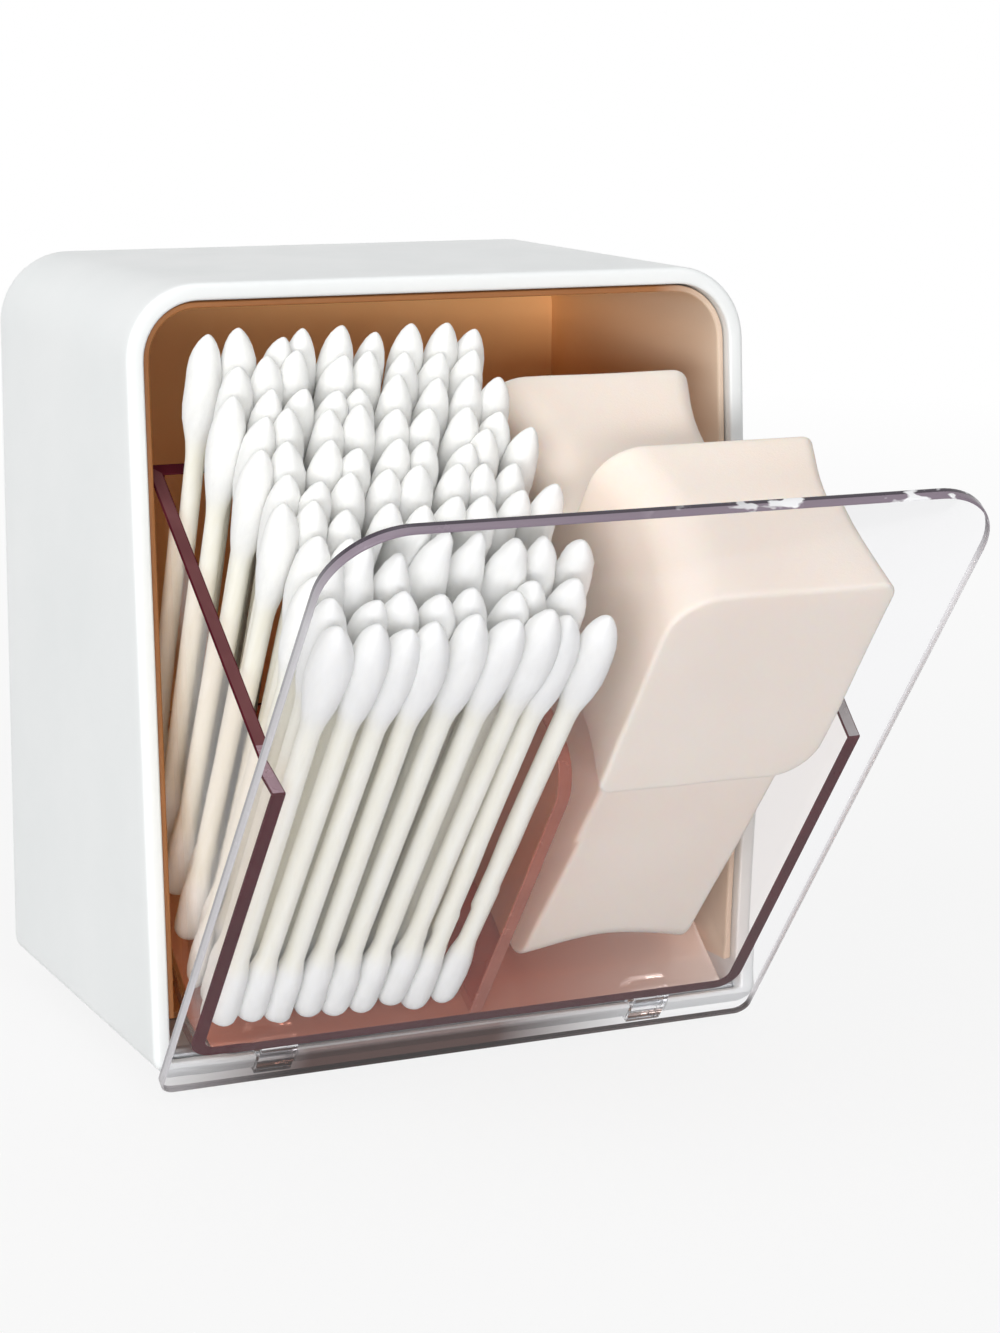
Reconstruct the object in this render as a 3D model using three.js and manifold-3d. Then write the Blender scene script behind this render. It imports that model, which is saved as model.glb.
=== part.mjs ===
// A wall-held cotton swab dispenser: an open-fronted white housing with a tan liner, and a
// tilt-out bin behind a clear front panel. The bin hangs on one hinge rod at the front of the
// housing's floor and is drawn tilted open. Millimetres, +Z up, the front faces -Y.
import * as THREE from "three";
import { mergeVertices } from "three/addons/utils/BufferGeometryUtils.js";
import Module from "manifold-3d";

const wasm = await Module();
wasm.setup();

// Housing. Its front plane leans back, so the floor is deeper than the roof by LEAN.
const WIDTH = 85;
const HEIGHT = 98;
const ROOF_DEPTH = 54;
const LEAN = 7;
const WALL = 2.2;
const TOP_RADIUS = 9.5;
const FOOT_RADIUS = 2.5;
const INNER_FOOT_RADIUS = 0.6;
const EDGE_CHAMFER = { depth: 1.3, height: 1.6 };

// Gaps: between pieces that touch, round a piece that turns, and past a cut.
const FIT_GAP = 0.25;
const TURN_GAP = 0.35;
const SWING_GAP = 0.55;
const OVERCUT = 2;

// Liner inside the housing, and the foam pad that holds the back to a wall.
const LINER_WALL = 0.8;
const LINER_SETBACK = 1.2;
const LINER_NOTCH = { back: 8, top: 7 };
const PAD = { width: 58, height: 70, thickness: 1, radius: 5 };

// Hinge rod in a groove of the floor, and the two clear lugs that turn on it.
const ROD_RADIUS = 1;
const ROD_HEIGHT = 2.4;
const ROD_FROM_FRONT = 2.8;
const ROD_SOCKET = 1;
const ROD_SIDES = 16;
const LUG = { side: 26.4, width: 5, radius: 2.25, armLength: 9.5, armThickness: 1.4 };

// Clear panel. Closed, it lies PANEL_GAP in front of the housing's front plane.
const PANEL = { width: 83.8, thickness: 1.6, topRadius: 9.5, footRadius: 2, overTop: 1 };
const PANEL_GAP = 0.4;
const OPEN_TILT = THREE.MathUtils.degToRad(36.8);

// Tinted bin behind the panel, open at the top, with a divider down its middle.
const BIN_WALL = 1.8;
const BIN_FLOOR = 1.6;
const BIN_FLOOR_CLOSED = 5.5;
const BIN_TOP = 53.6;
const DIVIDER = { thickness: 1.8, drop: 1.5, cornerRadius: 6 };

// Loose goods in the bin: rows of swabs on the left, sponges on the right.
// Heights in a swab's foot are counted up from its end, and those in its bud down from its tip.
const SWAB = { length: 72, budRadius: 2.3, footRadius: 1.75, stickRadius: 1.15, sides: 6 };
const SWAB_FOOT = { round: 2, roundShare: 0.9, full: 7, end: 12.5 };
const SWAB_BUD = { end: 15, full: 9, point: 4, pointShare: 0.8 };
const SWAB_ROWS = 11;
const SWABS_ABREAST = 9;
const ROW_PITCH = 3.4;
const ROW_LEFT = { frontFoot: -34.3, frontTip: -35.2, rearFoot: -33, rearTip: -36.6 };
const ROW_RIGHT = { foot: -4.6, tip: -1.1 };
const REAR_LEAN = THREE.MathUtils.degToRad(12);
const CONTENT_GAP = 0.3;
const SPONGE = { cornerRadius: 2.5, bevel: 1.2, waist: 2.4, curveSteps: 5 };

// Steps in a quarter of a small, usual or large curve.
const CURVE_STEPS = { small: 4, usual: 6, large: 8 };

// Places that follow from the dimensions above, in the housing's frame: Y runs back from the
// front edge of the roof and Z runs up from the underside.
const LEAN_ANGLE = Math.atan(LEAN / HEIGHT);
const INNER_X = WIDTH / 2 - WALL;
const LINER_BACK = ROOF_DEPTH - WALL - FIT_GAP;
const LINER_INNER_BACK = LINER_BACK - LINER_WALL;
const LINER_INNER_X = INNER_X - FIT_GAP - LINER_WALL;
const frontAt = (z) => -LEAN * (1 - z / HEIGHT);
const ROD_Y = frontAt(ROD_HEIGHT) + ROD_FROM_FRONT / Math.cos(LEAN_ANGLE);
const ROD_END = INNER_X + ROD_SOCKET;
const BACK_TO_WALL = ROOF_DEPTH + FIT_GAP + PAD.thickness;

// Places in the bin's frame: the origin is on the rod, Y runs square to the panel towards the
// back and Z runs up along the panel.
const PANEL_INNER = -ROD_FROM_FRONT - PANEL_GAP;
const PANEL_FOOT = -ROD_HEIGHT / Math.cos(LEAN_ANGLE);
const PANEL_TOP = (HEIGHT + PANEL.overTop - ROD_HEIGHT) / Math.cos(LEAN_ANGLE);
const BIN_FRONT = PANEL_INNER + FIT_GAP;
const BIN_X = LINER_INNER_X - SWING_GAP;
const BIN_INNER_X = BIN_X - BIN_WALL;
const BIN_BACK =
  (LINER_INNER_BACK - SWING_GAP - ROD_Y) * Math.cos(LEAN_ANGLE) - BIN_TOP * Math.sin(LEAN_ANGLE);
const BIN_INNER_BACK = BIN_BACK - BIN_WALL;
const floorUnder = (y) => (BIN_FLOOR_CLOSED - ROD_HEIGHT) / Math.cos(LEAN_ANGLE) + y * Math.tan(LEAN_ANGLE);
const floorTop = (y) => floorUnder(y) + BIN_FLOOR;

// Two stacks of two sponges in the right compartment, each piece with its own place. Lower ones
// stand on the floor and upper ones on the lower ones.
const SPONGE_STACKS = [
  {
    name: "front",
    lower: { left: 9, right: 33.2, front: 3.8, back: 22, top: 46.8 },
    upper: { left: 4.3, right: 33.6, front: PANEL_INNER + CONTENT_GAP, back: 22, top: 81 },
  },
  {
    name: "rear",
    lower: { left: 4.5, right: 33.5, front: 23, back: 47.2, top: 34.5 },
    upper: { left: 2.3, right: 31.1, front: 23, back: 47.2, top: 68.8 },
  },
];

// A closed manifold solid from a three.js geometry, and a geometry from a solid.
function solidOf(geometry) {
  const bare = geometry.clone();
  bare.deleteAttribute("normal");
  bare.deleteAttribute("uv");
  const merged = mergeVertices(bare, 1e-4);
  return new wasm.Manifold(
    new wasm.Mesh({
      numProp: 3,
      vertProperties: new Float32Array(merged.attributes.position.array),
      triVerts: new Uint32Array(merged.index.array),
    }),
  );
}

function geometryOf(solid) {
  const mesh = solid.getMesh();
  const geometry = new THREE.BufferGeometry();
  geometry.setAttribute("position", new THREE.BufferAttribute(mesh.vertProperties, 3));
  geometry.setIndex(new THREE.BufferAttribute(mesh.triVerts, 1));
  geometry.computeVertexNormals();
  return geometry;
}

const cut = (geometry, ...tools) =>
  geometryOf(tools.reduce((solid, tool) => solid.subtract(solidOf(tool)), solidOf(geometry)));
const join = (geometries) =>
  geometryOf(geometries.map(solidOf).reduce((whole, solid) => whole.add(solid)));

// A box between two corners.
function boxBetween(low, high) {
  const size = high.map((value, i) => value - low[i]);
  const middle = high.map((value, i) => (value + low[i]) / 2);
  return new THREE.BoxGeometry(...size).translate(...middle);
}

// An upright rounded outline, with one radius for its foot and one for its top.
function roundedOutline(halfWidth, bottom, top, footRadius, topRadius) {
  const shape = new THREE.Shape();
  shape.moveTo(-halfWidth + footRadius, bottom);
  shape.lineTo(halfWidth - footRadius, bottom);
  shape.absarc(halfWidth - footRadius, bottom + footRadius, footRadius, -Math.PI / 2, 0);
  shape.lineTo(halfWidth, top - topRadius);
  shape.absarc(halfWidth - topRadius, top - topRadius, topRadius, 0, Math.PI / 2);
  shape.lineTo(-halfWidth + topRadius, top);
  shape.absarc(-halfWidth + topRadius, top - topRadius, topRadius, Math.PI / 2, Math.PI);
  shape.lineTo(-halfWidth, bottom + footRadius);
  shape.absarc(-halfWidth + footRadius, bottom + footRadius, footRadius, Math.PI, 1.5 * Math.PI);
  return shape;
}

// A front-view outline (X across, Z up) extruded back from one Y to another.
function extrudeBack(shape, fromY, toY, curveSegments = CURVE_STEPS.usual) {
  const options = { depth: toY - fromY, bevelEnabled: false, curveSegments };
  return new THREE.ExtrudeGeometry(shape, options).rotateX(Math.PI / 2).translate(0, toY, 0);
}

// A side-view outline (Y along, Z up) extruded across, centred on X.
function extrudeAcross(shape, width, centreX = 0, curveSegments = CURVE_STEPS.usual) {
  const options = { depth: width, bevelEnabled: false, curveSegments };
  const turn = new THREE.Matrix4().makeBasis(
    new THREE.Vector3(0, 1, 0),
    new THREE.Vector3(0, 0, 1),
    new THREE.Vector3(1, 0, 0),
  );
  const geometry = new THREE.ExtrudeGeometry(shape, options).applyMatrix4(turn);
  return geometry.translate(centreX - width / 2, 0, 0);
}

const sideOutline = (points) => new THREE.Shape(points.map(([y, z]) => new THREE.Vector2(y, z)));

// Moves a prism's front end, at one Y, onto the leaning front plane.
function leanFront(geometry, frontY) {
  const position = geometry.attributes.position;
  for (let i = 0; i < position.count; i += 1) {
    if (Math.abs(position.getY(i) - frontY) < 1e-3) position.setY(i, frontY + frontAt(position.getZ(i)));
  }
  return geometry;
}

const leaningPrism = (shape, fromY, toY) => leanFront(extrudeBack(shape, fromY, toY), fromY);
const rodAcross = (radius, length) =>
  new THREE.CylinderGeometry(radius, radius, length, ROD_SIDES).rotateZ(Math.PI / 2);

// White housing: an open-fronted box with a groove for the rod, a slot for each lug, a socket for
// each rod end and a bevelled lower front edge that the panel swings past.
function housing() {
  const outer = leaningPrism(roundedOutline(WIDTH / 2, 0, HEIGHT, FOOT_RADIUS, TOP_RADIUS), 0, ROOF_DEPTH);
  const cavity = leaningPrism(
    roundedOutline(INNER_X, WALL, HEIGHT - WALL, INNER_FOOT_RADIUS, TOP_RADIUS - WALL),
    -OVERCUT,
    ROOF_DEPTH - WALL,
  );
  const grooveHalf = ROD_RADIUS + TURN_GAP;
  const groove = boxBetween(
    [-INNER_X, ROD_Y - grooveHalf, ROD_HEIGHT - grooveHalf],
    [INNER_X, ROD_Y + grooveHalf, WALL + OVERCUT],
  );
  const sockets = rodAcross(ROD_RADIUS + FIT_GAP, 2 * (ROD_END + FIT_GAP));
  sockets.translate(0, ROD_Y, ROD_HEIGHT);
  const lugSlots = [-LUG.side, LUG.side].map((x) =>
    boxBetween(
      [x - LUG.width / 2 - TURN_GAP, -LEAN - OVERCUT, -OVERCUT],
      [x + LUG.width / 2 + TURN_GAP, ROD_Y + LUG.radius + TURN_GAP, WALL + OVERCUT],
    ),
  );
  const bevel = extrudeAcross(
    sideOutline([
      [-LEAN - EDGE_CHAMFER.depth, -EDGE_CHAMFER.height],
      [-LEAN + 2 * EDGE_CHAMFER.depth, -EDGE_CHAMFER.height],
      [-LEAN - EDGE_CHAMFER.depth, 2 * EDGE_CHAMFER.height],
    ]),
    WIDTH + OVERCUT,
  );
  return cut(outer, cavity, groove, sockets, ...lugSlots, bevel);
}

// Tan liner: a thin box against the housing's inner faces, cut short at the floor's front.
function liner() {
  const skin = (inset, footRadius, fromY, toY) =>
    leaningPrism(
      roundedOutline(
        INNER_X - inset,
        WALL + inset,
        HEIGHT - WALL - inset,
        footRadius,
        TOP_RADIUS - WALL - inset,
      ),
      fromY,
      toY,
    );
  const outer = skin(FIT_GAP, INNER_FOOT_RADIUS, LINER_SETBACK, LINER_BACK);
  const cavity = skin(FIT_GAP + LINER_WALL, INNER_FOOT_RADIUS, -OVERCUT, LINER_INNER_BACK);
  const notch = boxBetween([-WIDTH, -LEAN - OVERCUT, 0], [WIDTH, LINER_NOTCH.back, LINER_NOTCH.top]);
  return cut(outer, cavity, notch);
}

function wallPad() {
  const middle = HEIGHT / 2;
  const outline = roundedOutline(
    PAD.width / 2,
    middle - PAD.height / 2,
    middle + PAD.height / 2,
    PAD.radius,
    PAD.radius,
  );
  return extrudeBack(outline, ROOF_DEPTH + FIT_GAP, BACK_TO_WALL, CURVE_STEPS.small);
}

function frontPanel() {
  const outline = roundedOutline(PANEL.width / 2, PANEL_FOOT, PANEL_TOP, PANEL.footRadius, PANEL.topRadius);
  return extrudeBack(outline, PANEL_INNER - PANEL.thickness, PANEL_INNER, CURVE_STEPS.large);
}

// A lug is a ring round the rod at the panel's foot, with an arm back under the bin's floor.
function hingeLug(centreX) {
  const armTop = (y) => floorUnder(y) - FIT_GAP;
  const armUnder = (y) => armTop(y) - LUG.armThickness;
  const outline = new THREE.Shape();
  outline.moveTo(BIN_FRONT, -LUG.radius);
  outline.lineTo(0, -LUG.radius);
  outline.absarc(0, 0, LUG.radius, -Math.PI / 2, Math.asin(armUnder(0) / LUG.radius));
  outline.lineTo(LUG.armLength, armUnder(LUG.armLength));
  outline.lineTo(LUG.armLength, armTop(LUG.armLength));
  outline.lineTo(BIN_FRONT, armTop(BIN_FRONT));
  const bore = new THREE.Path();
  bore.absarc(0, 0, ROD_RADIUS + TURN_GAP, 0, 2 * Math.PI, true);
  outline.holes.push(bore);
  return extrudeAcross(outline, LUG.width, centreX, CURVE_STEPS.large);
}

// Tinted bin: a floor that is level when closed, two side walls and a back wall.
function storageBin() {
  const outer = extrudeAcross(
    sideOutline([
      [BIN_FRONT, floorUnder(BIN_FRONT)],
      [BIN_BACK, floorUnder(BIN_BACK)],
      [BIN_BACK, BIN_TOP],
      [BIN_FRONT, BIN_TOP],
    ]),
    2 * BIN_X,
  );
  const past = BIN_FRONT - OVERCUT;
  const inside = extrudeAcross(
    sideOutline([
      [past, floorTop(past)],
      [BIN_INNER_BACK, floorTop(BIN_INNER_BACK)],
      [BIN_INNER_BACK, BIN_TOP + OVERCUT],
      [past, BIN_TOP + OVERCUT],
    ]),
    2 * BIN_INNER_X,
  );
  return cut(outer, inside);
}

function divider() {
  const front = BIN_FRONT;
  const back = BIN_INNER_BACK - FIT_GAP;
  const top = BIN_TOP - DIVIDER.drop;
  const radius = DIVIDER.cornerRadius;
  const outline = new THREE.Shape();
  outline.moveTo(front, floorTop(front) + FIT_GAP);
  outline.lineTo(back, floorTop(back) + FIT_GAP);
  outline.lineTo(back, top);
  outline.lineTo(front + radius, top);
  outline.absarc(front + radius, top - radius, radius, Math.PI / 2, Math.PI);
  return extrudeAcross(outline, DIVIDER.thickness);
}

// One swab: a round-ended bud below, a stick, and a pointed bud above.
function swab() {
  const { length, budRadius, footRadius, stickRadius, sides } = SWAB;
  const profile = [
    [0, 0],
    [footRadius * SWAB_FOOT.roundShare, SWAB_FOOT.round],
    [footRadius, SWAB_FOOT.full],
    [stickRadius, SWAB_FOOT.end],
    [stickRadius, length - SWAB_BUD.end],
    [budRadius, length - SWAB_BUD.full],
    [budRadius * SWAB_BUD.pointShare, length - SWAB_BUD.point],
    [0, length],
  ];
  const points = profile.map(([radius, height]) => new THREE.Vector2(radius, height));
  return new THREE.LatheGeometry(points, sides, Math.PI / 6).rotateX(Math.PI / 2);
}

// A row of swabs side by side, their feet close together and their tips fanned out. Every other
// row is one short and sits half a pitch over, and each row leans further back and fans wider
// than the one before it.
function swabRow(row) {
  const short = row % 2;
  const y = PANEL_INNER + CONTENT_GAP + SWAB.budRadius + row * ROW_PITCH;
  const foot = floorTop(y + SWAB.footRadius) + CONTENT_GAP;
  const depth = row / (SWAB_ROWS - 1);
  const lean = REAR_LEAN * depth;
  const leftFoot = THREE.MathUtils.lerp(ROW_LEFT.frontFoot, ROW_LEFT.rearFoot, depth);
  const leftTip = THREE.MathUtils.lerp(ROW_LEFT.frontTip, ROW_LEFT.rearTip, depth);
  const swabs = Array.from({ length: SWABS_ABREAST - short }, (_, i) => {
    const share = (i + short / 2) / (SWABS_ABREAST - 1);
    const footX = THREE.MathUtils.lerp(leftFoot, ROW_RIGHT.foot, share);
    const tipX = THREE.MathUtils.lerp(leftTip, ROW_RIGHT.tip, share);
    const fan = Math.asin((tipX - footX) / SWAB.length);
    return swab().rotateY(fan).rotateX(-lean).translate(footX, y, foot);
  });
  return join(swabs);
}

// A block outline seen from above, drawn in at the middle of its left and right sides.
function spongeOutline(halfWidth, halfDepth) {
  const { cornerRadius: r, waist } = SPONGE;
  const shape = new THREE.Shape();
  shape.moveTo(-halfWidth + r, -halfDepth);
  shape.lineTo(halfWidth - r, -halfDepth);
  shape.quadraticCurveTo(halfWidth, -halfDepth, halfWidth, -halfDepth + r);
  shape.quadraticCurveTo(halfWidth - 2 * waist, 0, halfWidth, halfDepth - r);
  shape.quadraticCurveTo(halfWidth, halfDepth, halfWidth - r, halfDepth);
  shape.lineTo(-halfWidth + r, halfDepth);
  shape.quadraticCurveTo(-halfWidth, halfDepth, -halfWidth, halfDepth - r);
  shape.quadraticCurveTo(-halfWidth + 2 * waist, 0, -halfWidth, -halfDepth + r);
  shape.quadraticCurveTo(-halfWidth, -halfDepth, -halfWidth + r, -halfDepth);
  return shape;
}

// A makeup sponge with a waist, standing between two heights.
function sponge({ left, right, front, back }, foot, top) {
  const { bevel } = SPONGE;
  const outline = spongeOutline((right - left) / 2 - bevel, (back - front) / 2 - bevel);
  const geometry = new THREE.ExtrudeGeometry(outline, {
    depth: top - foot - 2 * bevel,
    bevelThickness: bevel,
    bevelSize: bevel,
    bevelSegments: 1,
    curveSegments: SPONGE.curveSteps,
  });
  return geometry.translate((left + right) / 2, (front + back) / 2, foot + bevel);
}

function spongeStacks() {
  return SPONGE_STACKS.flatMap(({ name, lower, upper }) => [
    [`sponge_${name}_lower`, sponge(lower, floorTop(lower.back) + CONTENT_GAP, lower.top)],
    [`sponge_${name}_upper`, sponge(upper, lower.top + CONTENT_GAP, upper.top)],
  ]);
}

const plastic = (color, roughness) => () =>
  new THREE.MeshStandardMaterial({ color, roughness, metalness: 0 });
const seeThrough = (color, opacity) => () =>
  new THREE.MeshStandardMaterial({ color, roughness: 0.08, metalness: 0, transparent: true, opacity });
const MATERIALS = {
  white: plastic("#f3f4f3", 0.35),
  tan: plastic("#c88a52", 0.5),
  clear: seeThrough("#e9e9ea", 0.25),
  tint: seeThrough("#8c4a40", 0.55),
  steel: () => new THREE.MeshStandardMaterial({ color: "#b9bcc0", roughness: 0.3, metalness: 1 }),
  foam: plastic("#dcdcd8", 0.9),
  cotton: plastic("#fbfaf5", 0.95),
  sponge: plastic("#f9dfcb", 0.9),
};

function addPiece(group, name, geometry, finish) {
  const mesh = new THREE.Mesh(geometry, MATERIALS[finish]());
  mesh.name = name;
  group.add(mesh);
}

// The fixed half, in the housing's frame.
const fixed = new THREE.Group();
addPiece(fixed, "outer_shell", housing(), "white");
addPiece(fixed, "inner_liner", liner(), "tan");
addPiece(fixed, "wall_pad", wallPad(), "foam");
addPiece(fixed, "hinge_rod", rodAcross(ROD_RADIUS, 2 * ROD_END).translate(0, ROD_Y, ROD_HEIGHT), "steel");

// The tilting half, in the bin's frame, turned open about the rod.
const tilting = new THREE.Group();
addPiece(tilting, "front_panel", frontPanel(), "clear");
addPiece(tilting, "hinge_lug_left", hingeLug(-LUG.side), "clear");
addPiece(tilting, "hinge_lug_right", hingeLug(LUG.side), "clear");
addPiece(tilting, "storage_bin", storageBin(), "tint");
addPiece(tilting, "bin_divider", divider(), "tint");
for (let row = 0; row < SWAB_ROWS; row += 1) {
  addPiece(tilting, `swab_row_${String(row + 1).padStart(2, "0")}`, swabRow(row), "cotton");
}
for (const [name, geometry] of spongeStacks()) addPiece(tilting, name, geometry, "sponge");
tilting.position.set(0, ROD_Y, ROD_HEIGHT);
tilting.rotation.x = OPEN_TILT;

// The part's origin is the middle of the pad's wall side.
const dispenser = new THREE.Group();
dispenser.add(fixed, tilting);
dispenser.position.set(0, -BACK_TO_WALL, -HEIGHT / 2);

export default dispenser;
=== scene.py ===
"""A cotton swab dispenser: a white housing with a tan liner, and a tinted bin that tilts out behind a
clear panel."""
import math
import random

import bmesh
import bpy
from mathutils import Matrix, Vector, noise


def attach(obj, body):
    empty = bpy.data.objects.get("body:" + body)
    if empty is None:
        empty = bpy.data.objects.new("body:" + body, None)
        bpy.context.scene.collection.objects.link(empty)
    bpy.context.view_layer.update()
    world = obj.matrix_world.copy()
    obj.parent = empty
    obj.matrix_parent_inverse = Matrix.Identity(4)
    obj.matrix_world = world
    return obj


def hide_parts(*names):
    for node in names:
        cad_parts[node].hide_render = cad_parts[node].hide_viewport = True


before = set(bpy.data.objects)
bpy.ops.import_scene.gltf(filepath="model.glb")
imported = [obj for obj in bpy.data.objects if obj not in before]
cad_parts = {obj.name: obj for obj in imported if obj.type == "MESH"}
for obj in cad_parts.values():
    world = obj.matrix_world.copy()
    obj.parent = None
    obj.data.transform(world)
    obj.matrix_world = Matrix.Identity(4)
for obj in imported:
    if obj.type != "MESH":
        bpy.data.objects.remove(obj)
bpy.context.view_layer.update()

MM = 0.001
rng = random.Random(20)

# The two frames that pieces are drawn in, in millimetres. Housing: Y runs back from the roof's front
# edge, Z up from the underside. Bin: the origin is on the hinge rod, Y runs back from the panel,
# Z up along it.
HOUSING_AT = Vector((0, -55.25, -49))
ROD_Y, ROD_Z = -4.0214, 2.4
ROD_AT = HOUSING_AT + Vector((0, ROD_Y, ROD_Z))
OPEN_TILT = math.radians(36.8)
TO_HOUSING = Matrix.Translation(HOUSING_AT * MM)
TO_BIN = Matrix.Translation(ROD_AT * MM) @ Matrix.Rotation(OPEN_TILT, 4, "X")

WIDTH, HEIGHT, ROOF_DEPTH, LEAN, WALL = 85, 98, 54, 7, 2.2
TOP_RADIUS, FOOT_RADIUS, LEAST_RADIUS = 9.5, 2.5, 0.6
CHAMFER_DEPTH, CHAMFER_HEIGHT = 1.3, 1.6
LINER_GAP, LINER_WALL, LINER_SETBACK = 0.25, 0.8, 1.2
NOTCH_DEPTH, NOTCH_HEIGHT = 8, 7
PAD_FRONT, PAD_BACK, PAD_HALF, PAD_LOW, PAD_HIGH = 54.25, 55.25, 29, 14, 84
PAD_RADIUS, PAD_ROUND = 5, 0.35
ROD_HALF, ROD_RADIUS, ROD_CHAMFER, ROD_ROOM = 40.2, 1.0, 0.25, 1.35

PANEL_FRONT, PANEL_BACK, PANEL_HALF, PANEL_FOOT, PANEL_TOP = -4.8, -3.2, 41.9, -2.406, 96.85
PANEL_TOP_RADIUS, PANEL_FOOT_RADIUS, PANEL_ROUND, RIM_WIDTH = 9.5, 2, 0.28, 0.7
# Heights up the panel's foot where its painted shade is full and where it ends.
FOOT_SHADE_FULL, FOOT_SHADE_END = 2.0, 2.9
BIN_FRONT, BIN_BACK, BIN_INNER_BACK, BIN_TOP = -2.95, 50.26, 48.46, 53.6
BIN_X, BIN_INNER_X, BIN_RADIUS, BIN_INNER_RADIUS = 38.7, 36.9, 3.2, 1.6
BIN_FLOOR, FLOOR_AT_ROD, FLOOR_RISE = 1.6, 3.108, 0.0714
LUG_X, LUG_HALF = 26.4, 2.5
GAP, CLEARANCE, SOFT_EDGE = 0.25, 0.3, 0.2


def front_at(z):
    """Y of the leaning front plane at a height."""
    return -LEAN * (1 - z / HEIGHT)


def floor_under(v):
    """Height of the underside of the bin's sloping floor at a depth."""
    return FLOOR_AT_ROD + FLOOR_RISE * v


def floor_top(v):
    """Height of the top of the bin's floor at a depth."""
    return floor_under(v) + BIN_FLOOR


# Mesh helpers.


def new_piece(name, verts, faces, materials, place, picks=None, smooth_angle=35):
    """A mesh piece from points in millimetres, drawn in the frame that place stands for."""
    mesh = bpy.data.meshes.new(name)
    mesh.from_pydata([Vector(v) * MM for v in verts], [], faces)
    for material in materials:
        mesh.materials.append(material)
    for i, pick in enumerate(picks or []):
        mesh.polygons[i].material_index = pick
    tidy_normals(mesh, smooth_angle)
    piece = bpy.data.objects.new(name, mesh)
    bpy.context.scene.collection.objects.link(piece)
    piece.matrix_world = place
    return piece


def tidy_normals(mesh, smooth_angle=35):
    """Faces point out, and only edges sharper than an angle show as sharp."""
    bm = bmesh.new()
    bm.from_mesh(mesh)
    bmesh.ops.recalc_face_normals(bm, faces=bm.faces)
    bm.to_mesh(mesh)
    bm.free()
    mesh.shade_smooth()
    mesh.set_sharp_from_angle(angle=math.radians(smooth_angle))


def settle(piece, body, node):
    """The piece stands for a CAD node, which it hides, and rides on a body."""
    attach(piece, body)
    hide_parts(node)


def carve(piece, cutters):
    """Cuts other pieces out of one and throws them away."""
    for cutter in cutters:
        cut = piece.modifiers.new("cut", "BOOLEAN")
        cut.operation = "DIFFERENCE"
        cut.solver = "EXACT"
        cut.object = cutter
    bpy.context.view_layer.update()
    graph = bpy.context.evaluated_depsgraph_get()
    mesh = bpy.data.meshes.new_from_object(piece.evaluated_get(graph))
    piece.modifiers.clear()
    piece.data = mesh
    for cutter in cutters:
        bpy.data.objects.remove(cutter)
    tidy_normals(mesh)


def soften(piece, angle=40, pick=-1):
    """A small rounding on every sharp edge. pick is the place of its material in the piece's list, or -1
    for that of the faces beside it."""
    bevel = piece.modifiers.new("soften", "BEVEL")
    bevel.width = SOFT_EDGE * MM
    bevel.segments = 2
    bevel.limit_method = "ANGLE"
    bevel.angle_limit = math.radians(angle)
    bevel.harden_normals = True
    bevel.material = pick


def prism(outline, low, high):
    """Points and faces of a (y, z) outline pushed from low to high along X."""
    n = len(outline)
    verts = [(x, y, z) for x in (low, high) for y, z in outline]
    faces = [(i, (i + 1) % n, n + (i + 1) % n, n + i) for i in range(n)]
    return verts, [tuple(range(n)), tuple(range(2 * n - 1, n - 1, -1)), *faces]


def box_points(low, high):
    corners = [(low[1], low[2]), (high[1], low[2]), (high[1], high[2]), (low[1], high[2])]
    return prism(corners, low[0], high[0])


def arc(centre, radius, start, turn, steps):
    """Points of a round stretch from a start angle, in degrees."""
    for i in range(steps + 1):
        a = math.radians(start + turn * i / steps)
        yield centre[0] + radius * math.cos(a), centre[1] + radius * math.sin(a)


def rounded(half_width, bottom, top, radii, steps=14, straight=8):
    """An upright rounded outline as (x, z) points, with the same count for every size. The radii run
    from the lower right corner round by the upper right and upper left."""
    places = ((1, bottom, 1, -90), (1, top, -1, 0), (-1, top, -1, 90), (-1, bottom, 1, 180))
    corners = []
    for radius, (side, level, inward, start) in zip(radii, places):
        centre = (side * (half_width - radius), level + inward * radius)
        corners.append(list(arc(centre, radius, start, 90, steps)))
    points = []
    for k, corner in enumerate(corners):
        points += corner
        begin, end = corner[-1], corners[(k + 1) % 4][0]
        for i in range(1, straight):
            t = i / straight
            points.append((begin[0] + (end[0] - begin[0]) * t, begin[1] + (end[1] - begin[1]) * t))
    return points


def loft(rings):
    """Points and faces of a skin over rings with equal counts, closed at both ends."""
    n = len(rings[0])
    verts = [p for ring in rings for p in ring]
    faces = []
    for k in range(len(rings) - 1):
        for i in range(n):
            j = (i + 1) % n
            faces.append((k * n + i, k * n + j, (k + 1) * n + j, (k + 1) * n + i))
    faces.append(tuple(range(n - 1, -1, -1)))
    faces.append(tuple(range((len(rings) - 1) * n, len(rings) * n)))
    return verts, faces


def quarter(radius, steps):
    """(how far in, how far along) over a quarter round, from the face to the side."""
    turns = [math.pi / 2 * i / steps for i in range(steps + 1)]
    return [(radius * (1 - math.sin(a)), radius * (1 - math.cos(a))) for a in turns]


# Materials.


def linear(r, g, b):
    """A colour given as 0 to 255 on screen, as Blender's linear one."""
    def one(c):
        c /= 255
        return c / 12.92 if c <= 0.04045 else ((c + 0.055) / 1.055) ** 2.4
    return one(r), one(g), one(b), 1


def any_ray(tree, *kinds):
    """1 on light rays of these kinds, 0 on the others."""
    path = tree.nodes.new("ShaderNodeLightPath")
    found = path.outputs[kinds[0]]
    for kind in kinds[1:]:
        either = tree.nodes.new("ShaderNodeMath")
        either.operation = "MAXIMUM"
        tree.links.new(found, either.inputs[0])
        tree.links.new(path.outputs[kind], either.inputs[1])
        found = either.outputs[0]
    return found


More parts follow.
